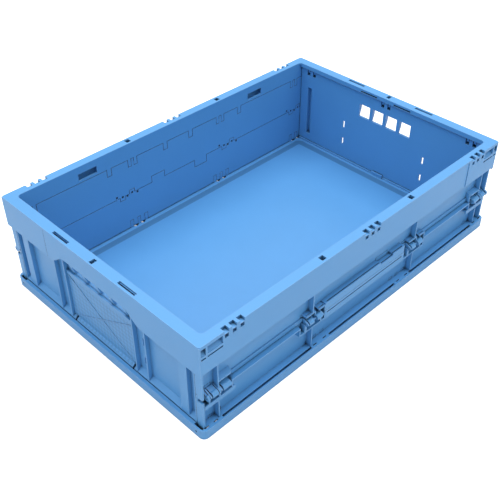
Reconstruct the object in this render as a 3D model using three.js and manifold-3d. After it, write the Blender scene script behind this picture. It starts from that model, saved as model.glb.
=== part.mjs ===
// Collapsible storage crate, 600 x 400 mm footprint, standing open.
// Millimetres, +Z up, origin at the centre of the underside, long sides along X.
//
// Eight mouldings and thirty hinge pins: a base tray, a top frame, two long walls that are
// each a lower and an upper half, two end panels that swing in under the top frame, and the
// pins of the base, mid, top and end hinges.
import * as THREE from 'three';
import { mergeVertices } from 'three/addons/utils/BufferGeometryUtils.js';
import Module from 'manifold-3d';

const wasm = await Module();
wasm.setup();

// ---------------------------------------------------------------- driving dimensions
const BASE_X = 300;              // half length of the base tray
const BASE_Y = 200;              // half width of the base tray
const HEIGHT = 154;              // top face of the top frame
const RIM_X = 297.5;             // half length of the top frame
const RIM_Y = 197.5;             // half width of the top frame
const OPENING_X = 282;           // half length of the mouth
const OPENING_Y = 183.5;         // half width of the mouth, and inner face of the long walls
const SKIN = 2.5;                // wall of every moulding
const RIB = 1.8;                 // ribs and flanges
const GAP = 0.4;                 // running gap between neighbouring mouldings
const SEAM = 0.9;                // open seam between mouldings on the inner face

// long walls fold inwards about three axes; the mid axis lies on their outermost plane
const WALL_OUT_Y = 194.4;
const WALL_END_X = 294.6;
const WALL_BOTTOM = 6.2;
const WALL_TOP = 126.5;
const HINGE_Y = 186.5;           // base and top hinge axes
const BASE_AXIS_Z = 7.5;
const MID_AXIS_Z = 63.4;
const TOP_AXIS_Z = 2 * MID_AXIS_Z - BASE_AXIS_Z;
const MID_AXIS_Y = 194.7;
const MID_SEAM_Z = 67.4;         // seam between the two halves on the inside
const RIB_X = { leftCorner: -269, leftBay: -105, rightBay: 111, rightCorner: 275 };
const BASE_GROUP_X = [-277, -89, 89, 277];
const TOP_GROUP_X = [-266, -90, 90, 266];
const RAIL_X = [-81, 87];        // grip rails in the middle of a long wall

// end panels swing about an axis just under the lip of the top frame
const END_AXIS_X = 289.5;
const END_AXIS_Z = 142.3;
const END_BEAD_R = 4;            // rounded top edge, centred on the swing axis
const END_IN_X = END_AXIS_X - END_BEAD_R;
const END_SKIN_X = END_IN_X + SKIN;
const END_OUT_X = 294.4;
const END_HALF_Y = 182.7;
const END_BOTTOM = 8.6;
const END_GROUP_Y = [-160, 0, 160];

const PIN_R = 1.5;
const BORE_R = 1.9;
const BORE_HALF = 19.5;          // half length of a mid hinge bore
const BARREL_R = 4.5;            // knuckles of the mid hinges
const ROUND_SIDES = 8;           // sides of pins and bores
const BARREL_SIDES = 12;
const KNUCKLE_R = 3.3;           // knuckles of the base and top hinges
const BASE_BORE_HALF = 24;
const TOP_BORE_HALF = 16;
const END_BORE_HALF = 16;
const BASE_PIN_HALF = 16.6;
const TOP_PIN_HALF = 8;
const END_PIN_HALF = 11;
const FLATNESS = 0.01;           // how far a merged face may stray from its plane

const BLUE = 0x5f9fdc;
const PIN_BLUE = 0x4f8fd0;

// ---------------------------------------------------------------- solids
function solidFrom(geometry) {
  const bare = new THREE.BufferGeometry();
  bare.setAttribute('position', geometry.getAttribute('position'));
  bare.setIndex(geometry.getIndex());
  const merged = mergeVertices(bare, 1e-4);
  return new wasm.Manifold(new wasm.Mesh({
    numProp: 3,
    vertProperties: new Float32Array(merged.getAttribute('position').array),
    triVerts: new Uint32Array(merged.getIndex().array),
  }));
}

// box between two corners, given as [low, high] along each axis
function box(x, y, z) {
  const size = [x[1] - x[0], y[1] - y[0], z[1] - z[0]];
  const geometry = new THREE.BoxGeometry(...size);
  geometry.translate((x[0] + x[1]) / 2, (y[0] + y[1]) / 2, (z[0] + z[1]) / 2);
  return solidFrom(geometry);
}

function rod(axis, radius, span, centre, sides = ROUND_SIDES) {
  const geometry = new THREE.CylinderGeometry(radius, radius, span[1] - span[0], sides);
  const middle = (span[0] + span[1]) / 2;
  if (axis === 'x') {
    geometry.rotateZ(Math.PI / 2);
    geometry.translate(middle, centre[0], centre[1]);
  } else if (axis === 'y') {
    geometry.translate(centre[0], middle, centre[1]);
  } else {
    geometry.rotateX(Math.PI / 2);
    geometry.translate(centre[0], centre[1], middle);
  }
  return solidFrom(geometry);
}

// turns a (y, z) outline extruded upwards so that it runs along X from a start
function layAlongX(geometry, start) {
  geometry.applyMatrix4(new THREE.Matrix4().set(0, 0, 1, start, 1, 0, 0, 0, 0, 1, 0, 0, 0, 0, 0, 1));
  return solidFrom(geometry);
}

// profile in the plane across an axis, run along that axis
function prismAlongX(points, span) {
  const shape = new THREE.Shape(points.map(([y, z]) => new THREE.Vector2(y, z)));
  const geometry = new THREE.ExtrudeGeometry(shape, { depth: span[1] - span[0], bevelEnabled: false });
  return layAlongX(geometry, span[0]);
}

function prismAlongY(points, span) {
  const shape = new THREE.Shape(points.map(([x, z]) => new THREE.Vector2(x, z)));
  const geometry = new THREE.ExtrudeGeometry(shape, { depth: span[1] - span[0], bevelEnabled: false });
  geometry.applyMatrix4(new THREE.Matrix4().set(1, 0, 0, 0, 0, 0, -1, span[1], 0, 1, 0, 0, 0, 0, 0, 1));
  return solidFrom(geometry);
}

// rectangle with rounded corners
function roundedOutline(halfX, halfY, radius) {
  const shape = new THREE.Shape();
  shape.moveTo(halfX, -halfY + radius);
  shape.lineTo(halfX, halfY - radius);
  shape.absarc(halfX - radius, halfY - radius, radius, 0, Math.PI / 2);
  shape.absarc(-halfX + radius, halfY - radius, radius, Math.PI / 2, Math.PI);
  shape.absarc(-halfX + radius, -halfY + radius, radius, Math.PI, 1.5 * Math.PI);
  shape.absarc(halfX - radius, -halfY + radius, radius, 1.5 * Math.PI, 2 * Math.PI);
  return shape;
}

// upright slab with rounded corners in plan
function roundedSlab(halfX, halfY, radius, z, segments = 3) {
  const options = { depth: z[1] - z[0], bevelEnabled: false, curveSegments: segments };
  const geometry = new THREE.ExtrudeGeometry(roundedOutline(halfX, halfY, radius), options);
  geometry.translate(0, 0, z[0]);
  return solidFrom(geometry);
}

// the same slab, flaring out by a slope above its foot and in again below its top
function slopedSlab(halfX, halfY, radius, z, slope) {
  const geometry = new THREE.ExtrudeGeometry(roundedOutline(halfX, halfY, radius), {
    depth: z[1] - z[0],
    curveSegments: 2,
    bevelSegments: 1,
    bevelThickness: slope.height,
    bevelSize: slope.run,
  });
  geometry.translate(0, 0, z[0] + slope.height);
  return solidFrom(geometry);
}

function union(solids) {
  return solids.reduce((sum, next) => sum.add(next));
}

function without(solid, cuts) {
  return cuts.length ? solid.subtract(union(cuts)) : solid;
}

// the crate repeats itself after half a turn about Z
const halfTurn = (solid) => solid.rotate([0, 0, 180]);
const around = (centre, half) => [centre - half, centre + half];
const grown = (span, by) => [span[0] - by, span[1] + by];
const front = (from, to) => [-Math.max(from, to), -Math.min(from, to)];

function toMesh(name, solid, colour) {
  // triangles that share a flat face are merged where they can be
  const { vertProperties, triVerts } = solid.asOriginal().simplify(FLATNESS).getMesh();
  const geometry = new THREE.BufferGeometry();
  geometry.setAttribute('position', new THREE.BufferAttribute(new Float32Array(vertProperties), 3));
  geometry.setIndex(new THREE.BufferAttribute(new Uint32Array(triVerts), 1));
  geometry.computeVertexNormals();
  const material = new THREE.MeshStandardMaterial({ color: colour, roughness: 0.5, metalness: 0 });
  const mesh = new THREE.Mesh(geometry, material);
  mesh.name = name;
  return mesh;
}

// ---------------------------------------------------------------- base tray
const LIP_TOP = 15;              // outer lip of the tray
const LIP = 2;                   // thickness of the lip
const FLOOR_TOP = 3;
const KERB_TOP = 5;
const KERB_OUT_X = 284;
const KERB_OUT_Y = 183.2;
const FLOOR_X = 268.2;           // the floor inside the kerb's sloping inner face
const FLOOR_Y = 166.6;
const KERB_SLOPE = 10.4;
// comb of a base hinge, from the group's centre: three lugs of the tray, two wall knuckles
const BASE_LUGS = [[-17.3, -11.3], [-2.6, 2.6], [11.3, 17.3]];
const BASE_KNUCKLES = [[-10.6, -3.3], [3.3, 10.6]];
const LUG_TOP = 17.8;
const BASE_CORNER = 8;
const FLOOR_HOLE = { offset: 7, half: 3 };     // holes through the floor beside a hinge's middle lug
const TROUGH_SLOT = { half: 3.6, depth: 7 };
// ledge under an end panel, the step outside it, and the tab the panel closes against
const END_LEDGE = { halfY: 181, top: 7.6 };
const END_TAB = { halfY: 11, top: 11 };
// stretches where the trough between wall and lip is filled level with the lip
const FILLED = [
  { span: [-296, -266], slots: [-291, -276] },
  { span: [-106, -71.5], slots: [-99, -80] },
  { span: [71.5, 106], slots: [80, 99] },
  { span: [266, 296], slots: [276, 291] },
];

const shifted = (spans, x) => spans.map(([from, to]) => [x + from, x + to]);

function kerb() {
  const ring = roundedSlab(KERB_OUT_X, KERB_OUT_Y, 8, [FLOOR_TOP - 1, KERB_TOP]);
  const slope = { height: KERB_TOP - FLOOR_TOP, run: KERB_SLOPE };
  return without(ring, [slopedSlab(FLOOR_X, FLOOR_Y, 1, [FLOOR_TOP, KERB_TOP + 4], slope)]);
}

// lug of the base hinge: a low body round the pin and a plate that stands in the wall's skin
function baseHingeLug(span) {
  const [back, face, plate] = [-(HINGE_Y + 5.5), -OPENING_Y, -(OPENING_Y + SKIN)];
  const profile = [[back, 2], [face, 2], [face, LUG_TOP], [plate, LUG_TOP], [plate, 12.1],
    [back + 2.8, 12.1], [back, 10.5]];
  return prismAlongX(profile, span);
}

function baseFrontDetails() {
  const solids = [];
  const cuts = [];
  for (const x of BASE_GROUP_X) {
    for (const span of shifted(BASE_LUGS, x)) {
      solids.push(baseHingeLug(span));
    }
    for (const side of [-1, 1]) {
      const hole = around(x + side * FLOOR_HOLE.offset, FLOOR_HOLE.half);
      cuts.push(box(hole, front(OPENING_Y - 2.5, HINGE_Y + 4.5), [-1, FLOOR_TOP + 3]));
    }
    cuts.push(rod('x', BORE_R, around(x, BASE_BORE_HALF), [-HINGE_Y, BASE_AXIS_Z]));
  }
  for (const { span, slots } of FILLED) {
    solids.push(box(span, front(WALL_OUT_Y + GAP, BASE_Y - LIP + 0.5), [FLOOR_TOP - 1, LIP_TOP]));
    for (const x of slots) {
      const z = [LIP_TOP - TROUGH_SLOT.depth, LIP_TOP + 1];
      cuts.push(box(around(x, TROUGH_SLOT.half), front(WALL_OUT_Y - 1, WALL_OUT_Y + 2), z));
    }
  }
  return { solids, cuts };
}

function makeBaseTray() {
  const outer = roundedSlab(BASE_X, BASE_Y, BASE_CORNER, [0, LIP_TOP], 5);
  const hollowZ = [FLOOR_TOP, LIP_TOP + 1];
  const hollow = roundedSlab(BASE_X - LIP, BASE_Y - LIP, BASE_CORNER - LIP, hollowZ, 5);
  const tray = without(outer, [hollow]);
  const { solids, cuts } = baseFrontDetails();
  const ends = [];
  const ledgeY = around(0, END_LEDGE.halfY);
  ends.push(box([-BASE_X + 1, -KERB_OUT_X + 1], ledgeY, [FLOOR_TOP - 1, END_LEDGE.top]));
  ends.push(box([-BASE_X + 1, -END_OUT_X - 0.6], ledgeY, [FLOOR_TOP - 1, LIP_TOP]));
  const tabX = [-KERB_OUT_X - 0.5, -KERB_OUT_X + 2.2];
  ends.push(box(tabX, around(0, END_TAB.halfY), [KERB_TOP - 1, END_TAB.top]));
  const half = union([...solids, ...ends]);
  const whole = union([tray, kerb(), half, halfTurn(half)]);
  const halfCuts = union(cuts);
  return without(whole, [halfCuts, halfTurn(halfCuts)]);
}

// ---------------------------------------------------------------- long walls
const LEDGE = [60.8, 62.5];                               // top flange of the lower half
const FOOT = [12.4, 14];                                  // bottom flange of the lower half
const LOWER_RAIL_BOTTOM = 47.5;                           // grip rails of the middle bay
const UPPER_RAIL = { bottom: 63, top: 75, step: 71.6, dip: [33, 61] };
const RAIL_GROOVE = [56.6, 58.4];
const LAP = { depth: [186.4, 187.8], bottom: 63.5, top: 70 };  // strip that covers the seam outside
const TAB_UP = { x: [32, 57], top: 78.6 };                // tab of the lower half
const TAB_DOWN = { x: [-57, -32], bottom: 55.2 };         // tab of the upper half
const END_PLATE = 3;                                      // thickness at the ends of a wall
const LOWER_END_TOP = 57.6;                               // the end knuckles turn above this
const SADDLE_TOP = 69.2;                                  // arms outboard of a corner rib
const ARM_TOP = 67.2;

// Mid hinge groups. Spans run from the group's rib: towards +X in the bays, inboard at the
// corners. Barrels belong to the upper half, ears and the plates under them to the lower half.
const BAY_GROUP = {
  barrels: [[-10, -1.5], [5, 14]],
  ears: [[-13, -11], [15, 17]],
  floor: { span: [-24.5, 24.5], z: [48.3, 50.1] },
  lowerSides: [[-24.5, -23], [-15, -13], [23, 24.5]],
  plates: [{ span: [-13, 5], top: 75 }, { span: [11, 24], top: 73.4 }],
  upperSides: [[3.5, 5], [22.5, 24]],
  ribFoot: 74,
  pin: { centre: 2, half: 15.4 },
};
const CORNER_GROUP = {
  barrels: [[4.4, 17], [-2.6, 0.2], [-12.2, -3.6], [-19.2, -16.6]],
  ears: [[1, 3], [-15.4, -13.4]],
  floor: { span: [-22, 27], z: [47.2, 48.8] },
  lip: [43.6, 49.8],
  lowerSides: [[21.5, 23]],
  plates: [],
  upperSides: [[21.5, 23]],
  ribFoot: 64,
  pin: { centre: -1, half: 17.8 },
};
const MID_GROUPS = [
  { rib: RIB_X.leftCorner, way: 1, comb: -270, ...CORNER_GROUP },
  { rib: RIB_X.leftBay, way: 1, comb: -106, ...BAY_GROUP },
  { rib: RIB_X.rightBay, way: 1, comb: 106, ...BAY_GROUP },
  { rib: RIB_X.rightCorner, way: -1, comb: 270, ...CORNER_GROUP },
];
const LEDGE_SPANS = [[-246.2, -129.4], RAIL_X, [135.4, 252.2]];
// where the seam steps round the mid hinges on the inner face, from the comb's centre
const TOOTH_UP = { span: [-13.7, -4.7], z: 73.6 };        // of the lower half
const TOOTH_DOWN = { span: [4.3, 13.3], z: 61.9 };        // of the upper half
const PEEPHOLES = [[-19.4, 65], [-9.2, 68.4], [0, 66], [8.8, 68], [19.4, 71.6]];
const PEEP_HALF = 1.8;

const outerDepth = front(OPENING_Y + 0.6, WALL_OUT_Y);
const seamDepth = front(OPENING_Y - 1, OPENING_Y + SKIN + GAP);
const fullLength = [-WALL_END_X, WALL_END_X];
const innerSkin = front(OPENING_Y, OPENING_Y + SKIN);
const mirrored = (span, side) => (side < 0 ? [-span[1], -span[0]] : span);
const pinCentre = ({ rib, way, pin }) => rib + way * pin.centre;
const toothAt = ({ comb }, tooth) => [comb + tooth.span[0], comb + tooth.span[1]];
const clamped = (span) => [Math.max(span[0], -WALL_END_X), Math.min(span[1], WALL_END_X)];

// a group's own span turned into a span along X
function spanAt({ rib, way }, [from, to]) {
  const ends = [rib + way * from, rib + way * to];
  return [Math.min(...ends), Math.max(...ends)];
}

const endPlate = (side, z) => box(mirrored([WALL_END_X - END_PLATE, WALL_END_X], side), outerDepth, z);

// small square holes through the skin along a mid hinge
function peepholes(group) {
  return PEEPHOLES.map(([offset, z]) =>
    box(around(group.comb + offset, PEEP_HALF), seamDepth, around(z, PEEP_HALF)));
}

const midBores = () => MID_GROUPS.map((group) =>
  rod('x', BORE_R, around(pinCentre(group), BORE_HALF), [-MID_AXIS_Y, MID_AXIS_Z]));

// thin pointed ear that carries the pin, its back edge on the lower half's skin
function ear(span, foot) {
  const root = -(OPENING_Y + 1);
  const proud = -(OPENING_Y + SKIN + 0.6);
  const profile = [[root, foot], [root, MID_SEAM_Z - 0.6], [proud, MID_SEAM_Z - 0.6], [proud, 69.6],
    [proud - 1, 69.6], [-198.4, 64.4], [-198.4, 62.6], [-WALL_OUT_Y, 58.2], [-WALL_OUT_Y, foot]];
  return prismAlongX(profile, span);
}

function makeFrontLowerWall() {
  const solids = [box(fullLength, innerSkin, [WALL_BOTTOM, MID_SEAM_Z])];
  solids.push(box(TAB_UP.x, innerSkin, [MID_SEAM_Z - 1, TAB_UP.top]));
  solids.push(box(fullLength, outerDepth, FOOT));
  for (const span of LEDGE_SPANS) {
    solids.push(box(span, outerDepth, LEDGE));
  }
  solids.push(box(RAIL_X, outerDepth, [LOWER_RAIL_BOTTOM, LEDGE[1]]));
  for (const group of MID_GROUPS) {
    const { span, z } = group.floor;
    solids.push(box(around(group.rib, RIB / 2), outerDepth, [FOOT[0], z[1]]));
    solids.push(box(clamped(spanAt(group, span)), outerDepth, z));
    if (group.lip) {
      const lipDepth = front(WALL_OUT_Y - RIB, WALL_OUT_Y);
      solids.push(box(clamped(spanAt(group, span)), lipDepth, group.lip));
    }
    for (const side of group.lowerSides) {
      solids.push(box(spanAt(group, side), outerDepth, [z[0], LEDGE[1]]));
    }
    for (const own of group.ears) {
      solids.push(ear(spanAt(group, own), z[0]));
    }
    solids.push(box(toothAt(group, TOOTH_UP), innerSkin, [MID_SEAM_Z - 1, TOOTH_UP.z]));
  }
  for (const side of [-1, 1]) {
    solids.push(endPlate(side, [FOOT[0], LOWER_END_TOP]));
  }

  const cuts = [];
  cuts.push(box(grown(TAB_DOWN.x, SEAM), seamDepth, [TAB_DOWN.bottom - SEAM, MID_SEAM_Z + 1]));
  cuts.push(box(grown(RAIL_X, -4), front(WALL_OUT_Y - 5, WALL_OUT_Y + 1), RAIL_GROOVE));
  for (const group of MID_GROUPS) {
    const tooth = grown(toothAt(group, TOOTH_DOWN), SEAM);
    cuts.push(box(tooth, seamDepth, [TOOTH_DOWN.z - SEAM, MID_SEAM_Z + 1]));
    cuts.push(...peepholes(group));
  }
  const late = [];
  for (const x of BASE_GROUP_X) {
    for (const span of shifted(BASE_LUGS, x)) {
      cuts.push(box(grown(span, 0.6), seamDepth, [WALL_BOTTOM - 1, LUG_TOP + SEAM]));
      cuts.push(box(grown(span, 0.6), front(OPENING_Y - 1, HINGE_Y + 6.1), [WALL_BOTTOM - 1, FOOT[0] + 0.5]));
    }
    for (const span of shifted(BASE_KNUCKLES, x)) {
      late.push(rod('x', KNUCKLE_R, span, [-HINGE_Y, BASE_AXIS_Z]));
      late.push(box(span, front(OPENING_Y + 1, HINGE_Y + 3.2), [BASE_AXIS_Z, FOOT[0] + 0.4]));
    }
  }
  const flush = box(grown(fullLength, 1), [-OPENING_Y, -OPENING_Y + 20], [0, 100]);
  const body = union([without(union(solids), cuts), ...late]);
  const baseBores = BASE_GROUP_X.map((x) =>
    rod('x', BORE_R, around(x, BASE_BORE_HALF), [-HINGE_Y, BASE_AXIS_Z]));
  return without(body, [flush, ...midBores(), ...baseBores]);
}

// tabs that hang from the top frame's inner skirt into notches of the upper half: two lugs at
// each top hinge, plain tabs between them
const TOP_LUG = { offset: 5.5, half: 2.6 };
const PLAIN_TAB = { x: [-133, -26, 26, 133], half: 3.6 };
const TAB_BOTTOM = TOP_AXIS_Z - 4.4;
const TOP_KNUCKLE_HALF = 2.4;

function topTabs() {
  const tabs = PLAIN_TAB.x.map((x) => ({ span: around(x, PLAIN_TAB.half), hinge: false }));
  for (const x of TOP_GROUP_X) {
    for (const side of [-1, 1]) {
      tabs.push({ span: around(x + side * TOP_LUG.offset, TOP_LUG.half), hinge: true });
    }
  }
  return tabs;
}

// box tops over the bay hinges, each with a slot behind its front lip
function hingeTops(group) {
  const solids = [];
  for (const { span, top } of group.plates) {
    const plate = box(spanAt(group, span), outerDepth, [top - 2, top]);
    const slot = box(grown(spanAt(group, span), -1.6), front(191.2, 192.5), [top - 3, top + 1]);
    solids.push(without(plate, [slot]));
  }
  return solids;
}

// shelf over the corner hinge, sloping back to the skin, its free corner rounded
function cornerShelf(group) {
  const span = spanAt(group, [-0.9, 23]);
  const profile = [[-WALL_OUT_Y, 75.4], [-WALL_OUT_Y, 77.2], [-OPENING_Y - 1, 80.4], [-OPENING_Y - 1, 78.4]];
  const radius = 4;
  const corner = [group.rib + group.way * (23 - radius), -WALL_OUT_Y + radius];
  const edge = spanAt(group, [23 - radius, 24]);
  const z = [LAP.bottom - 1, 82];
  const trim = without(box(edge, [-WALL_OUT_Y - 1, -WALL_OUT_Y + radius], z),
    [rod('z', radius, grown(z, 1), corner, 16)]);
  const side = box(spanAt(group, group.upperSides[0]), outerDepth, [LAP.bottom, 78]);
  return without(union([prismAlongX(profile, span), side]), [trim]);
}

function upperBarrel(group, own) {
  const span = spanAt(group, own);
  const barrel = rod('x', BARREL_R, span, [-MID_AXIS_Y, MID_AXIS_Z], BARREL_SIDES);
  const outboard = own[0] < 0 && group.plates.length === 0;
  // outboard of a corner rib the arms rise into a sloping saddle
  const back = outboard ? SADDLE_TOP : ARM_TOP;
  const tip = -WALL_OUT_Y + 1;
  const arm = [[-LAP.depth[0], LAP.bottom + 0.3], [-LAP.depth[0], back], [-LAP.depth[1] - 0.4, back],
    [tip, ARM_TOP], [tip, LAP.bottom + 0.3]];
  return [barrel, prismAlongX(arm, span)];
}

function makeFrontUpperWall() {
  const ribTop = TOP_AXIS_Z - 1;
  const solids = [box(fullLength, innerSkin, [MID_SEAM_Z + SEAM, WALL_TOP])];
  solids.push(box(fullLength, front(...LAP.depth), [LAP.bottom, LAP.top]));
  solids.push(box(fullLength, front(OPENING_Y + 1.5, LAP.depth[1]), [MID_SEAM_Z + SEAM, LAP.top]));
  // upper grip rail of the middle bay: its top edge steps down for a short length
  const { bottom, top, step, dip } = UPPER_RAIL;
  solids.push(box(RAIL_X, outerDepth, [bottom, step]));
  solids.push(box([RAIL_X[0], dip[0]], outerDepth, [step - 1, top]));
  solids.push(box([dip[1], RAIL_X[1]], outerDepth, [step - 1, top]));
  for (const group of MID_GROUPS) {
    solids.push(box(around(group.rib, RIB / 2), outerDepth, [group.ribFoot, ribTop]));
    solids.push(...hingeTops(group));
    if (group.plates.length === 0) {
      solids.push(cornerShelf(group));
    } else {
      group.upperSides.forEach((own, index) => {
        const height = [LAP.bottom, group.plates[index].top - 1];
        solids.push(box(spanAt(group, own), outerDepth, height));
      });
    }
    for (const own of group.barrels) {
      solids.push(...upperBarrel(group, own));
    }
  }
  for (const side of [-1, 1]) {
    solids.push(endPlate(side, [LAP.bottom, ribTop]));
  }

  const cuts = [];
  cuts.push(box(grown(TAB_UP.x, SEAM), seamDepth, [LAP.bottom - 1, TAB_UP.top + SEAM]));
  cuts.push(box(grown(RAIL_X, -4), front(191.4, 192.8), [top - 6, top + 1]));
  for (const group of MID_GROUPS) {
    for (const own of group.ears) {
      const slot = front(OPENING_Y + SKIN, BASE_Y);
      cuts.push(box(grown(spanAt(group, own), GAP), slot, [LAP.bottom - 4, LAP.top + 0.4]));
    }
    const tooth = grown(toothAt(group, TOOTH_UP), SEAM);
    cuts.push(box(tooth, seamDepth, [MID_SEAM_Z - 1, TOOTH_UP.z + SEAM]));
    cuts.push(...peepholes(group));
  }
  for (const { span } of topTabs()) {
    const through = front(OPENING_Y - 1, WALL_OUT_Y + 1);
    cuts.push(box(grown(span, SEAM), through, [TAB_BOTTOM - SEAM, WALL_TOP + 1]));
  }
  const late = [];
  for (const x of TOP_GROUP_X) {
    const span = around(x, TOP_KNUCKLE_HALF);
    late.push(rod('x', KNUCKLE_R, span, [-HINGE_Y, TOP_AXIS_Z]));
    late.push(box(span, front(OPENING_Y, HINGE_Y + 3.2), [TOP_AXIS_Z - 4, TOP_AXIS_Z]));
  }
  // the lower half's skin stands behind everything below the seam, but for the hanging tab
  const seamCut = box(grown(fullLength, 1), seamDepth, [UPPER_RAIL.bottom - 1, MID_SEAM_Z + SEAM]);
  const tabs = [box(TAB_DOWN.x, innerSkin, [TAB_DOWN.bottom, MID_SEAM_Z + SEAM + 1])];
  for (const group of MID_GROUPS) {
    const tooth = box(toothAt(group, TOOTH_DOWN), innerSkin, [TOOTH_DOWN.z, MID_SEAM_Z + SEAM + 1]);
    tabs.push(without(tooth, peepholes(group)));
  }
  const flush = box(grown(fullLength, 1), [-OPENING_Y, -OPENING_Y + 20], [50, 130]);
  const body = union([without(union([without(union(solids), cuts), ...late]), [seamCut]), ...tabs]);
  const topBores = TOP_GROUP_X.map((x) =>
    rod('x', BORE_R, around(x, TOP_BORE_HALF), [-HINGE_Y, TOP_AXIS_Z]));
  return without(body, [flush, ...midBores(), ...topBores]);
}

// ---------------------------------------------------------------- end panels
const END_RIB_Y = [70, 93];
const POST_Y = [155, 169];
const WINDOW_PITCH = 27.3;
const WINDOW = { width: 21.4, low: 101, high: 124 };
const FIELD = { x: 290.6, y: 69.5, z: [18, 94.5], line: 1.6 };
const CLIP_HOLES = { y: 82, width: 3.4, z: [[34, 46], [66, 79]] };
const LATCH_SLOT = { y: 62, half: 1.7, z: [10, 22.8] };
const POST_WALL = 2.6;
const FLANGE = { bottom: 15.6, outerTop: 17.4, innerTop: 22.4 };
const END_RIB_TOP = 134;
const END_LUG_OFFSET = 6.2;      // lugs either side of the middle of an end hinge

function makeLeftEndPanel() {
  const out = [-END_OUT_X, -END_IN_X - 0.8];
  const skinX = [-END_SKIN_X, -END_IN_X];
  const wide = [-END_HALF_Y, END_HALF_Y];
  const solids = [box(skinX, wide, [END_BOTTOM, END_AXIS_Z])];
  solids.push(rod('y', END_BEAD_R, wide, [-END_AXIS_X, END_AXIS_Z], 12));
  // foot flange, its top sloping down to the outer edge
  solids.push(prismAlongY([[-END_IN_X - 0.8, FLANGE.bottom], [-END_IN_X - 0.8, FLANGE.innerTop],
    [-END_SKIN_X, FLANGE.innerTop], [-END_OUT_X, FLANGE.outerTop], [-END_OUT_X, FLANGE.bottom]], wide));
  for (const side of [-1, 1]) {
    for (const y of END_RIB_Y) {
      solids.push(box(out, around(side * y, RIB / 2), [FLANGE.bottom, END_RIB_TOP]));
    }
    // raised lines that cross the middle field from corner to corner
    const [y0, y1, z0, z1] = [-side * (FIELD.y - 1), side * (FIELD.y - 1), FIELD.z[0] + 1, FIELD.z[1] - 1];
    const line = [[y0, z0], [y0, z0 + FIELD.line], [y1, z1], [y1, z1 - FIELD.line]];
    solids.push(prismAlongX(line, [-FIELD.x - 0.7, -FIELD.x + 0.5]));
    solids.push(box(out, mirrored(POST_Y, side), [FLANGE.bottom, END_RIB_TOP]));
    solids.push(box(out, mirrored([END_HALF_Y - RIB, END_HALF_Y], side), [END_BOTTOM, END_RIB_TOP]));
  }
  // raised middle field with a plain strip along its top edge
  solids.push(box([-FIELD.x, -END_SKIN_X + 0.5], around(0, FIELD.y), [17, FIELD.z[1]]));
  solids.push(box([-FIELD.x - 0.9, -END_SKIN_X + 0.5], around(0, FIELD.y), [FIELD.z[1] - 1, 99.6]));
  // frame of the hand windows
  const frameY = 2 * WINDOW_PITCH + 1;
  solids.push(box([-END_OUT_X + 1, -END_IN_X - 0.8], around(0, frameY), [126, 128]));
  for (let i = -2; i <= 2; i += 1) {
    solids.push(prismAlongY([[-END_IN_X - 1, 99], [-END_IN_X - 1, 128], [-END_OUT_X + 2, 128],
      [-END_OUT_X + 2, 113], [-END_SKIN_X, 99]], around(i * WINDOW_PITCH, 2.6)));
  }
  const cuts = [];
  for (const i of [-1.5, -0.5, 0.5, 1.5]) {
    cuts.push(box([-END_OUT_X - 1, -END_IN_X + 1], around(i * WINDOW_PITCH, WINDOW.width / 2),
      [WINDOW.low, WINDOW.high]));
  }
  for (const side of [-1, 1]) {
    for (const z of CLIP_HOLES.z) {
      cuts.push(box([-END_OUT_X - 1, -END_IN_X + 1], around(side * CLIP_HOLES.y, CLIP_HOLES.width / 2), z));
    }
    // the post is hollow from the inside
    const slot = mirrored(grown(POST_Y, -POST_WALL), side);
    cuts.push(box([-END_OUT_X + 2, -END_IN_X + 1], slot, [21, 112]));
    // latch tongue: two short slots through the bottom flange
    const across = around(side * LATCH_SLOT.y, LATCH_SLOT.half);
    cuts.push(box([-END_OUT_X - 1, -END_SKIN_X - 0.6], across, LATCH_SLOT.z));
  }
  for (const y of END_GROUP_Y) {
    for (const side of [-1, 1]) {
      cuts.push(box([-END_OUT_X - 1, -END_IN_X + 1], around(y + side * END_LUG_OFFSET, 3.2),
        [END_AXIS_Z - 7.5, END_AXIS_Z + END_BEAD_R + 1]));
    }
    cuts.push(rod('y', BORE_R, around(y, END_BORE_HALF), [-END_AXIS_X, END_AXIS_Z]));
  }
  // notch that clears the tab of the base ledge
  cuts.push(box([-END_OUT_X - 1, -END_IN_X + 1], around(0, END_TAB.halfY + 0.6),
    [END_BOTTOM - 1, END_TAB.top + 0.5]));
  return without(union(solids), cuts);
}

// ---------------------------------------------------------------- top frame
const RIM_SKIRT = 109.2;         // lower edge on the long sides
const RIM_INNER = 127.4;         // lower edge of the inner skirt on the long sides
const RIM_LIP = 147;             // lower edge of the inner lip on the short sides
const RIM_DECK = 2.6;

// lower edge of the short side: straight at the corners, arched over the hand windows
function shortSkirt() {
  const shape = new THREE.Shape();
  shape.moveTo(-RIM_Y, HEIGHT - 1);
  shape.lineTo(-RIM_Y, 107);
  shape.lineTo(-100, 107);
  shape.bezierCurveTo(-88, 107, -84, 109, -78, 114);
  shape.bezierCurveTo(-72, 119.5, -68, 123, -56, 123.4);
  shape.lineTo(56, 123.4);
  shape.bezierCurveTo(68, 123, 72, 119.5, 78, 114);
  shape.bezierCurveTo(84, 109, 88, 107, 100, 107);
  shape.lineTo(RIM_Y, 107);
  shape.lineTo(RIM_Y, HEIGHT - 1);
  const geometry = new THREE.ExtrudeGeometry(shape, { depth: SKIN, bevelEnabled: false, curveSegments: 5 });
  return layAlongX(geometry, -RIM_X);
}

const NOTCH_X = [-244.5, 1, 244.5];
const NOTCH = { pitch: 12, half: 3.75, floor: 149.5, depth: 7 };
const WINDOW_BELOW = { half: 3, z: [142.6, 148.2] };

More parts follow.
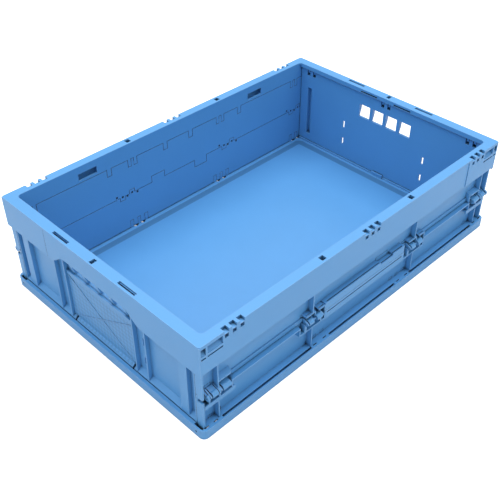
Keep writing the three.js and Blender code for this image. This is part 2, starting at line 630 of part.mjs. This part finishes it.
// three finger notches side by side in the outer top edge of a long side: each has a floor
// and a small window through the outer face under it
function edgeNotches(x) {
  const reach = NOTCH.pitch + NOTCH.half + 1.5;
  const depth = front(RIM_Y - NOTCH.depth - 1.4, RIM_Y);
  const tray = box(around(x, reach), depth, [WINDOW_BELOW.z[1], HEIGHT - 1]);
  const cuts = [];
  for (const offset of [-NOTCH.pitch, 0, NOTCH.pitch]) {
    const centre = x + offset;
    const notch = [NOTCH.floor, HEIGHT + 1];
    cuts.push(box(around(centre, NOTCH.half), front(RIM_Y - NOTCH.depth, RIM_Y + 1), notch));
    cuts.push(box(around(centre, WINDOW_BELOW.half), front(RIM_Y - SKIN - 1, RIM_Y + 1), WINDOW_BELOW.z));
  }
  return { tray, cuts };
}

// pockets beside a corner in the outer face of a long side: a sloping shelf, a slot under it
function cornerPockets(side) {
  const backs = [];
  const cuts = [];
  for (const wide of [[262.5, 285.5], [288, 295.2]]) {
    const span = mirrored(wide, side);
    const block = [Math.max(span[0] - 1.4, -RIM_X + 1), Math.min(span[1] + 1.4, RIM_X - 1)];
    backs.push(box(block, front(RIM_Y - 8, RIM_Y - 1), [135.8, HEIGHT - 1]));
    const profile = [[-RIM_Y - 1, 138], [-RIM_Y + 1.2, 138], [-RIM_Y + 6, 143], [-RIM_Y + 6, 149.2],
      [-RIM_Y - 1, 149.2]];
    cuts.push(prismAlongX(profile, span));
    cuts.push(box(span, front(RIM_Y - SKIN - 1, RIM_Y + 1), [132.2, 134.6]));
  }
  return { backs, cuts };
}

// openings in the top face: square notches on the long side, two slots and a hole on the short one
const SQUARE_NOTCH = { x: [-90, 90], half: 3.9, y: [-RIM_Y + 3.3, -RIM_Y + 11], depth: 7 };
const DECK_SLOT = { x: [-294.2, -289.6], y: [-67, 67], half: 16, depth: 8 };
const DECK_HOLE = { x: [-295.4, -286.6], y: 0.5, half: 3.1 };

function deckCuts() {
  const cuts = SQUARE_NOTCH.x.map((x) =>
    box(around(x, SQUARE_NOTCH.half), SQUARE_NOTCH.y, [HEIGHT - SQUARE_NOTCH.depth, HEIGHT + 1]));
  for (const y of DECK_SLOT.y) {
    cuts.push(box(DECK_SLOT.x, around(y, DECK_SLOT.half), [HEIGHT - DECK_SLOT.depth, HEIGHT + 1]));
  }
  cuts.push(box(DECK_HOLE.x, around(DECK_HOLE.y, DECK_HOLE.half), [HEIGHT - RIM_DECK - 1, HEIGHT + 1]));
  return cuts;
}

// shallow recess of the long side, parting line of the short side, windows of the inner skirts
const SHALLOW_RECESS = { x: [165, 222], depth: 1 };
const PARTING_LINE = { y: 100, half: 0.35, depth: 0.6 };
const LIP_WINDOW = { y: [-33, 33], half: 16.5, z: [148, 150.6] };
const SKIRT_WINDOW = { x: [-169, 169], half: 16, z: [131, 142] };

function skirtCuts() {
  const face = [RIM_SKIRT - 5, HEIGHT - RIM_DECK];
  const cuts = [box(SHALLOW_RECESS.x, front(RIM_Y - SHALLOW_RECESS.depth, RIM_Y + 1), face)];
  const line = around(PARTING_LINE.y, PARTING_LINE.half);
  cuts.push(box([-RIM_X - 1, -RIM_X + PARTING_LINE.depth], line, face));
  for (const y of LIP_WINDOW.y) {
    cuts.push(box([-OPENING_X - SKIN - 1, -OPENING_X + 1], around(y, LIP_WINDOW.half), LIP_WINDOW.z));
  }
  for (const x of SKIRT_WINDOW.x) {
    const depth = front(OPENING_Y - 1, OPENING_Y + SKIN + 1);
    cuts.push(box(around(x, SKIRT_WINDOW.half), depth, SKIRT_WINDOW.z));
  }
  return cuts;
}

function makeTopFrame() {
  const band = (x, y, radius, z) => roundedSlab(x, y, radius, z, 4);
  const deck = band(RIM_X, RIM_Y, 3.5, [HEIGHT - RIM_DECK, HEIGHT]);
  const skirt = without(band(RIM_X, RIM_Y, 3.5, [RIM_SKIRT - 3, HEIGHT - 1]),
    [band(RIM_X - SKIN, RIM_Y - SKIN, 1.5, [RIM_SKIRT - 4, HEIGHT])]);
  const shape = [box([-RIM_X + 3, RIM_X - 3], [-RIM_Y - 1, RIM_Y + 1], [RIM_SKIRT - 5, RIM_SKIRT]),
    box([-RIM_X - 1, RIM_X + 1], [-RIM_Y + 3, RIM_Y - 3], [RIM_SKIRT - 5, HEIGHT])];
  const longSkirt = without(skirt, shape);
  const solids = [shortSkirt()];
  // inner skirt of the front side, and the tabs that hang from it
  const innerFace = front(OPENING_Y, OPENING_Y + SKIN);
  const longSpan = [-RIM_X + 1, RIM_X - 1];
  solids.push(box(longSpan, innerFace, [RIM_INNER, HEIGHT - 1]));
  for (const { span, hinge } of topTabs()) {
    const depth = hinge ? front(OPENING_Y, HINGE_Y + 3.4) : innerFace;
    solids.push(box(span, depth, [TAB_BOTTOM, RIM_INNER + 3]));
    if (hinge) solids.push(box(span, front(OPENING_Y, HINGE_Y + 3.4), [RIM_INNER + 1, HEIGHT - 1]));
  }
  // lip of the short side and the lugs that carry the end panel
  solids.push(box([-OPENING_X - SKIN, -OPENING_X], [-RIM_Y + 2, RIM_Y - 2], [RIM_LIP, HEIGHT - 1]));
  for (const y of END_GROUP_Y) {
    for (const side of [-1, 1]) {
      const lug = [[-END_AXIS_X - 3, HEIGHT - 1], [-END_AXIS_X - 3, END_AXIS_Z - 2.4],
        [-END_AXIS_X - 1.6, END_AXIS_Z - 3.6], [-END_AXIS_X + 1.6, END_AXIS_Z - 3.6],
        [-END_AXIS_X + 3, END_AXIS_Z - 2.4], [-END_AXIS_X + 3, HEIGHT - 1]];
      solids.push(prismAlongY(lug, around(y + side * END_LUG_OFFSET, 2)));
    }
  }
  for (const x of NOTCH_X) {
    solids.push(edgeNotches(x).tray);
  }
  for (const side of [-1, 1]) {
    solids.push(...cornerPockets(side).backs);
  }
  const half = union(solids);
  const mouth = band(OPENING_X, OPENING_Y, 6, [100, HEIGHT + 1]);
  const frame = without(union([deck, longSkirt, half, halfTurn(half)]), [mouth]);

  const cuts = [...deckCuts(), ...skirtCuts()];
  for (const x of NOTCH_X) {
    cuts.push(...edgeNotches(x).cuts);
  }
  for (const side of [-1, 1]) {
    cuts.push(...cornerPockets(side).cuts);
  }
  for (const x of TOP_GROUP_X) {
    cuts.push(rod('x', BORE_R, around(x, TOP_BORE_HALF), [-HINGE_Y, TOP_AXIS_Z]));
  }
  for (const y of END_GROUP_Y) {
    cuts.push(rod('y', BORE_R, around(y, END_BORE_HALF), [-END_AXIS_X, END_AXIS_Z]));
  }
  const halfCuts = union(cuts);
  return without(frame, [halfCuts, halfTurn(halfCuts)]);
}

// ---------------------------------------------------------------- hinge pins
function frontPins() {
  const pins = [];
  const along = [
    { name: 'base', groups: BASE_GROUP_X, half: BASE_PIN_HALF, at: [-HINGE_Y, BASE_AXIS_Z] },
    { name: 'mid', groups: MID_GROUPS.map(pinCentre), at: [-MID_AXIS_Y, MID_AXIS_Z] },
    { name: 'top', groups: TOP_GROUP_X, half: TOP_PIN_HALF, at: [-HINGE_Y, TOP_AXIS_Z] },
  ];
  for (const { name, groups, half, at } of along) {
    groups.forEach((x, index) => {
      const length = around(x, half ?? MID_GROUPS[index].pin.half);
      pins.push({ name: `${name}_pin_${index + 1}`, solid: rod('x', PIN_R, length, at) });
    });
  }
  return pins;
}

function leftPins() {
  return END_GROUP_Y.map((y, index) => ({
    name: `pin_${index + 1}`,
    solid: rod('y', PIN_R, around(y, END_PIN_HALF), [-END_AXIS_X, END_AXIS_Z]),
  }));
}

// ---------------------------------------------------------------- crate
const crate = new THREE.Group();
const lowerWall = makeFrontLowerWall();
const upperWall = makeFrontUpperWall();
const endPanel = makeLeftEndPanel();

crate.add(toMesh('base_tray', makeBaseTray(), BLUE));
crate.add(toMesh('top_frame', makeTopFrame(), BLUE));

const asMade = (solid) => solid;
for (const [name, place] of [['front', asMade], ['rear', halfTurn]]) {
  crate.add(toMesh(`${name}_lower_wall`, place(lowerWall), BLUE));
  crate.add(toMesh(`${name}_upper_wall`, place(upperWall), BLUE));
  for (const pin of frontPins()) {
    crate.add(toMesh(`${name}_${pin.name}`, place(pin.solid), PIN_BLUE));
  }
}
for (const [name, place] of [['left', asMade], ['right', halfTurn]]) {
  crate.add(toMesh(`${name}_end_panel`, place(endPanel), BLUE));
  for (const pin of leftPins()) {
    crate.add(toMesh(`${name}_end_${pin.name}`, place(pin.solid), PIN_BLUE));
  }
}

export default crate;
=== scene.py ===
"""Looks of the collapsible storage crate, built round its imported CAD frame. Metres, +Z up."""
import math

import bpy
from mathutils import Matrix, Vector

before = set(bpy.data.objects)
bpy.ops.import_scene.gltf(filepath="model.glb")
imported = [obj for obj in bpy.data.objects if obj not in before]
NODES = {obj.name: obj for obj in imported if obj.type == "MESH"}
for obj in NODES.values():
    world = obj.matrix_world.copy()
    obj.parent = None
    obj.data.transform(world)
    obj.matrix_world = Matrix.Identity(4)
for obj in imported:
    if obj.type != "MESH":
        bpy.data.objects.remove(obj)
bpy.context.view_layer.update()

MM = 0.001
WHITE = (1, 1, 1, 1)

# ---------------------------------------------------------------- plastic
CRATE_BLUE = (0.079, 0.278, 0.575)
PIN_BLUE = (0.075, 0.25, 0.54)
CRATE_ROUGHNESS = 0.42
PIN_ROUGHNESS = 0.36
PLASTIC_IOR = 1.49

MOTTLE_SCALE = 14.0            # broad mottling, in patches per metre
MOTTLE_DETAIL = 4.0
MOTTLE_ROUGHNESS = 0.6
TONE_SWING = 0.05              # how far it takes the colour up and down
SHEEN_DROP = 0.06              # and the roughness down
SHEEN_RISE = 0.08              # and up

GRAIN_SCALE = 900.0            # fine grain of the mould
GRAIN_DETAIL = 2.0
GRAIN_STRENGTH = 0.12
GRAIN_DEPTH = 0.2 * MM

WEAR_AND_HIGHLIGHT_RADIUS = 1.1 * MM         # width of the pale wear and painted highlight along an edge
WEAR_AND_HIGHLIGHT_SAMPLES = 4
WEAR_AND_HIGHLIGHT_START = 0.98              # agreement of the rounded and the flat normal where the wear and painted highlight start
WEAR_AND_HIGHLIGHT_FULL = 0.75               # and where it is full
# share of the paler colour on an edge: wear and painted highlight
WEAR_AND_HIGHLIGHT_SHARE = 0.2
PALENESS = 0.5                 # how far the worn and painted-highlight colour goes towards white

SEAM_REACH = 9 * MM            # how far into a seam or corner the painted shade looks
# how much painted shade darkens a closed seam or corner
PAINTED_SEAM_SHADE = 0.9
SEAM_OPEN = 0.6                # share of the view left open where the painted shade starts
SEAM_CLOSED = 0.22             # and where it is full
SEAM_SAMPLES = 8

# ---------------------------------------------------------------- edges
EDGE_RADIUS = 0.5 * MM         # largest rounding of a moulded edge, less where details stand close
PIN_EDGE_RADIUS = 0.25 * MM
EDGE_SEGMENTS = 2
WELD_REACH = 0.001 * MM
FLAT_ANGLE = math.radians(1)
EDGE_ANGLE = math.radians(35)
LARGEST_FACES_ONLY = 100       # weight that lets only the largest face at a corner set its normal

# ---------------------------------------------------------------- textured field of the end panels
FIELD_FACE_X = 289.5 * MM      # on the outside only
FIELD_HALF_Y = 68 * MM
FIELD_MIDDLE_Z = 56 * MM
FIELD_HALF_Z = 38 * MM
DIAMOND = 7 * MM               # a diamond from corner to corner
DIAMOND_STRENGTH = 0.6
DIAMOND_DEPTH = 0.5 * MM
# painted shade: the raised diamonds are coloured darker than the plain plastic
DIAMOND_SHADE = 0.17

# ---------------------------------------------------------------- sloping inner face of the kerb, darkened with painted shade
KERB_MIDDLE_Z = 4 * MM
KERB_HALF_Z = 0.9 * MM
KERB_REACH_X = 279.5 * MM
KERB_REACH_Y = 177.5 * MM
# painted shade on the kerb slope, as a share of its colour
KERB_SHADE = 0.4

# ---------------------------------------------------------------- camera, floor and light
CAMERA_AZIMUTH = math.radians(-44.876)
CAMERA_ELEVATION = math.radians(39.254)
CAMERA_PLACE = Vector((-0.669, -0.6476, 0.7649))
SENSOR = 36.0
LENS = 56.7
FLOOR_TONE = 0.8
FLOOR_ROUGHNESS = 0.8
FLOOR_DROP = 0.3 * MM          # the floor lies just clear of the underside
FLOOR_SIZE = 30
FLOOR_GLOW = 0.45              # seen by the camera only: keeps the floor pale in the crate's shadow
SKY_LOW = 0.37                 # strength of the sky at the horizon
SKY_HIGH = 0.92                # and from SKY_TURN up
SKY_TURN = math.sin(math.radians(30))
LAMP_PLACE = Vector((0, 0, 2.4))
LAMP_SIZE = 3.0
LAMP_POWER = 68


# ---------------------------------------------------------------- shader pieces
def add(tree, kind, **inputs):
    """A shader node with some of its inputs set by name."""
    node = tree.nodes.new(kind)
    for name, value in inputs.items():
        node.inputs[name.replace("_", " ")].default_value = value
    return node


def calculate(tree, operation, *values):
    """A maths node fed by sockets or plain numbers; returns its result."""
    node = tree.nodes.new("ShaderNodeMath")
    node.operation = operation
    for socket, value in zip(node.inputs, values):
        if isinstance(value, (int, float)):
            socket.default_value = value
        else:
            tree.links.new(value, socket)
    return node.outputs["Value"]


def all_of(tree, masks):
    """One mask from several, on where all of them are on."""
    product = masks[0]
    for mask in masks[1:]:
        product = calculate(tree, "MULTIPLY", product, mask)
    return product


def ranged(tree, value, **ends):
    """The value carried from one range to another; each range is 0 to 1 where no end is given."""
    node = add(tree, "ShaderNodeMapRange", **ends)
    tree.links.new(value, node.inputs["Value"])
    return node.outputs["Result"]


def noise(tree, scale, detail, roughness=0.5):
    """Noise fixed to the crate's own frame."""
    place = tree.nodes.new("ShaderNodeTexCoord")
    node = add(tree, "ShaderNodeTexNoise", Scale=scale, Detail=detail, Roughness=roughness)
    tree.links.new(place.outputs["Object"], node.inputs["Vector"])
    return node.outputs["Fac"]


def bumped(tree, height, strength, depth, under=None):
    """The surface normal with a relief of this height, over the relief that is under it."""
    node = add(tree, "ShaderNodeBump", Strength=strength, Distance=depth)
    tree.links.new(height, node.inputs["Height"])
    if under:
        tree.links.new(under, node.inputs["Normal"])
    return node.outputs["Normal"]


def scaled(tree, colour, factor):
    """The colour, plain or from a socket, times a factor."""
    node = tree.nodes.new("ShaderNodeVectorMath")
    node.operation = "SCALE"
    if isinstance(colour, tuple):
        node.inputs[0].default_value = colour
    else:
        tree.links.new(colour, node.inputs[0])
    tree.links.new(factor, node.inputs["Scale"])
    return node.outputs["Vector"]


def darkened(tree, colour, mask, share):
    """The colour made darker by a share where the mask is on."""
    left = calculate(tree, "SUBTRACT", 1.0, calculate(tree, "MULTIPLY", mask, share))
    return scaled(tree, colour, left)


def position(tree):
    """Y, the distances from the two centre planes, and the height, as sockets."""
    place = tree.nodes.new("ShaderNodeTexCoord")
    split = tree.nodes.new("ShaderNodeSeparateXYZ")
    tree.links.new(place.outputs["Object"], split.inputs["Vector"])
    off_x = calculate(tree, "ABSOLUTE", split.outputs["X"])
    off_y = calculate(tree, "ABSOLUTE", split.outputs["Y"])
    return split.outputs["Y"], off_x, off_y, split.outputs["Z"]


def seen_by_camera(tree):
    """On where the camera looks at the thing itself and not at its light."""
    return tree.nodes.new("ShaderNodeLightPath").outputs["Is Camera Ray"]


# ---------------------------------------------------------------- masks of the pieces
def diamond_field(tree):
    """Mask of the raised diamonds on the outside of an end panel."""
    along, off_x, off_y, height = position(tree)
    grid = tree.nodes.new("ShaderNodeCombineXYZ")
    tree.links.new(calculate(tree, "ADD", along, height), grid.inputs["X"])
    tree.links.new(calculate(tree, "SUBTRACT", along, height), grid.inputs["Y"])
    checks = add(tree, "ShaderNodeTexChecker", Scale=1 / DIAMOND)
    tree.links.new(grid.outputs["Vector"], checks.inputs["Vector"])
    return all_of(tree, [
        calculate(tree, "GREATER_THAN", off_x, FIELD_FACE_X),
        calculate(tree, "LESS_THAN", off_y, FIELD_HALF_Y),
        calculate(tree, "COMPARE", height, FIELD_MIDDLE_Z, FIELD_HALF_Z),
        checks.outputs["Fac"],
    ])


def kerb_slope(tree):
    """Mask of the sloping inner face of the kerb, where painted shade is laid."""
    _, off_x, off_y, height = position(tree)
    return all_of(tree, [
        calculate(tree, "LESS_THAN", off_x, KERB_REACH_X),
        calculate(tree, "LESS_THAN", off_y, KERB_REACH_Y),
        calculate(tree, "COMPARE", height, KERB_MIDDLE_Z, KERB_HALF_Z),
    ])


# ---------------------------------------------------------------- the plastic and its layers
def mottled(tree, shader, colour, roughness):
    """The colour with broad mottling, which varies the sheen as well."""
    mottle = noise(tree, MOTTLE_SCALE, MOTTLE_DETAIL, MOTTLE_ROUGHNESS)
    sheen = ranged(tree, mottle, To_Min=roughness - SHEEN_DROP, To_Max=roughness + SHEEN_RISE)
    tree.links.new(sheen, shader.inputs["Roughness"])
    tone = ranged(tree, mottle, To_Min=1 - TONE_SWING, To_Max=1 + TONE_SWING)
    return scaled(tree, colour, tone)


def edge_wear_and_highlight(tree, surface, colour):
    """Paler along edges, as wear and as a painted highlight; the edges are found where the rounded normal
    leaves the flat one.
    """
    rounded = add(tree, "ShaderNodeBevel", Radius=WEAR_AND_HIGHLIGHT_RADIUS)
    rounded.samples = WEAR_AND_HIGHLIGHT_SAMPLES
    flat = tree.nodes.new("ShaderNodeNewGeometry")
    bend = tree.nodes.new("ShaderNodeVectorMath")
    bend.operation = "DOT_PRODUCT"
    tree.links.new(rounded.outputs["Normal"], bend.inputs[0])
    tree.links.new(flat.outputs["Normal"], bend.inputs[1])
    wear_and_highlight = ranged(tree, bend.outputs["Value"], From_Min=WEAR_AND_HIGHLIGHT_START, From_Max=WEAR_AND_HIGHLIGHT_FULL, To_Max=WEAR_AND_HIGHLIGHT_SHARE)
    worn_and_lit = tree.nodes.new("ShaderNodeMix")
    worn_and_lit.data_type = "RGBA"
    pale = [channel * (1 - PALENESS) + PALENESS for channel in colour]
    worn_and_lit.inputs["B"].default_value = (*pale, 1)
    tree.links.new(wear_and_highlight, worn_and_lit.inputs["Factor"])
    tree.links.new(surface, worn_and_lit.inputs["A"])
    return worn_and_lit.outputs["Result"]


def with_painted_seam_shade(tree, surface):
    """Painted shade: darker in seams and tight corners than on the open faces."""
    hidden = add(tree, "ShaderNodeAmbientOcclusion", Distance=SEAM_REACH)
    hidden.samples = SEAM_SAMPLES
    painted_shade_mask = ranged(tree, hidden.outputs["AO"], From_Min=SEAM_OPEN, From_Max=SEAM_CLOSED)
    return darkened(tree, surface, painted_shade_mask, PAINTED_SEAM_SHADE)


def plastic(name, colour, roughness=CRATE_ROUGHNESS, diamonds=False, kerb_painted_shade=False):
    """Moulded polypropylene: fine grain, slight mottling, edges paler as wear and as painted highlight,
    painted shade in seams and corners.
    """
    material = bpy.data.materials.new(name)
    material.use_nodes = True
    tree = material.node_tree
    shader = tree.nodes["Principled BSDF"]
    shader.inputs["IOR"].default_value = PLASTIC_IOR

    surface = mottled(tree, shader, colour, roughness)
    # paler edges: wear and painted highlight
    surface = edge_wear_and_highlight(tree, surface, colour)
    # painted shade in seams and tight corners
    surface = with_painted_seam_shade(tree, surface)
    grain = noise(tree, GRAIN_SCALE, GRAIN_DETAIL)
    normal = bumped(tree, grain, GRAIN_STRENGTH, GRAIN_DEPTH)
    if diamonds:
        raised = diamond_field(tree)
        normal = bumped(tree, raised, DIAMOND_STRENGTH, DIAMOND_DEPTH, under=normal)
        # painted shade on the raised diamonds
        surface = darkened(tree, surface, raised, DIAMOND_SHADE)
    # painted shade on the sloping inner face of the kerb
    if kerb_painted_shade:
        surface = darkened(tree, surface, kerb_slope(tree), KERB_SHADE)
    tree.links.new(normal, shader.inputs["Normal"])
    tree.links.new(surface, shader.inputs["Base Color"])
    return material


def soften(piece, material, width=EDGE_RADIUS):
    """Gives a CAD node its finish and rounds its edges."""
    piece.data.materials.clear()
    piece.data.materials.append(material)
    skin = piece.modifiers.new("one skin", "WELD")
    skin.merge_threshold = WELD_REACH
    merge = piece.modifiers.new("merge flat faces", "DECIMATE")
    merge.decimate_type = "DISSOLVE"
    merge.angle_limit = FLAT_ANGLE
    edges = piece.modifiers.new("rounded edges", "BEVEL")
    edges.width = width
    edges.segments = EDGE_SEGMENTS
    edges.limit_method = "ANGLE"
    edges.angle_limit = EDGE_ANGLE
    normals = piece.modifiers.new("flat faces stay flat", "WEIGHTED_NORMAL")
    normals.weight = LARGEST_FACES_ONLY
    for face in piece.data.polygons:
        face.use_smooth = True


# ---------------------------------------------------------------- the studio
def make_floor():
    bpy.ops.mesh.primitive_plane_add(size=FLOOR_SIZE, location=(0, 0, -FLOOR_DROP))
    floor = bpy.context.object
    floor.name = "floor"
    material = bpy.data.materials.new("pale_floor")
    material.use_nodes = True
    tree = material.node_tree
    shader = tree.nodes["Principled BSDF"]
    shader.inputs["Base Color"].default_value = (FLOOR_TONE, FLOOR_TONE, FLOOR_TONE, 1)
    shader.inputs["Roughness"].default_value = FLOOR_ROUGHNESS
    shader.inputs["Emission Color"].default_value = WHITE
    glow = calculate(tree, "MULTIPLY", seen_by_camera(tree), FLOOR_GLOW)
    tree.links.new(glow, shader.inputs["Emission Strength"])
    floor.data.materials.append(material)


def make_sky():
    """Darker towards the horizon as a light, white all over to the camera."""
    world = bpy.data.worlds.new("studio")
    bpy.context.scene.world = world
    world.use_nodes = True
    tree = world.node_tree
    sky = tree.nodes["Background"]
    sky.inputs["Color"].default_value = WHITE
    way = tree.nodes.new("ShaderNodeTexCoord")
    split = tree.nodes.new("ShaderNodeSeparateXYZ")
    tree.links.new(way.outputs["Generated"], split.inputs["Vector"])
    strength = ranged(tree, split.outputs["Z"], From_Max=SKY_TURN, To_Min=SKY_LOW, To_Max=SKY_HIGH)
    shown = calculate(tree, "MAXIMUM", strength, seen_by_camera(tree))
    tree.links.new(shown, sky.inputs["Strength"])


def make_lamp():
    lamp = bpy.data.lights.new("overhead", "AREA")
    lamp.size = LAMP_SIZE
    lamp.energy = LAMP_POWER
    rig = bpy.data.objects.new("overhead", lamp)
    rig.location = LAMP_PLACE
    bpy.context.scene.collection.objects.link(rig)


def make_camera():
    lens = bpy.data.cameras.new("camera")
    lens.sensor_width = SENSOR
    lens.lens = LENS
    camera = bpy.data.objects.new("camera", lens)
    back = Vector((
        math.sin(CAMERA_AZIMUTH) * math.cos(CAMERA_ELEVATION),
        -math.cos(CAMERA_AZIMUTH) * math.cos(CAMERA_ELEVATION),
        math.sin(CAMERA_ELEVATION),
    ))
    camera.location = CAMERA_PLACE
    camera.rotation_euler = (-back).to_track_quat("-Z", "Y").to_euler()
    bpy.context.scene.collection.objects.link(camera)
    bpy.context.scene.camera = camera


crate_plastic = plastic("crate_plastic", CRATE_BLUE)
tray_plastic = plastic("tray_plastic", CRATE_BLUE, kerb_painted_shade=True)
panel_plastic = plastic("panel_plastic", CRATE_BLUE, diamonds=True)
pin_plastic = plastic("pin_plastic", PIN_BLUE, PIN_ROUGHNESS)
for name, node in NODES.items():
    if "_pin_" in name:
        soften(node, pin_plastic, PIN_EDGE_RADIUS)
    elif name.endswith("end_panel"):
        soften(node, panel_plastic)
    elif name == "base_tray":
        soften(node, tray_plastic)
    else:
        soften(node, crate_plastic)

make_floor()
make_sky()
make_lamp()
make_camera()
bpy.context.scene.view_settings.view_transform = "Standard"
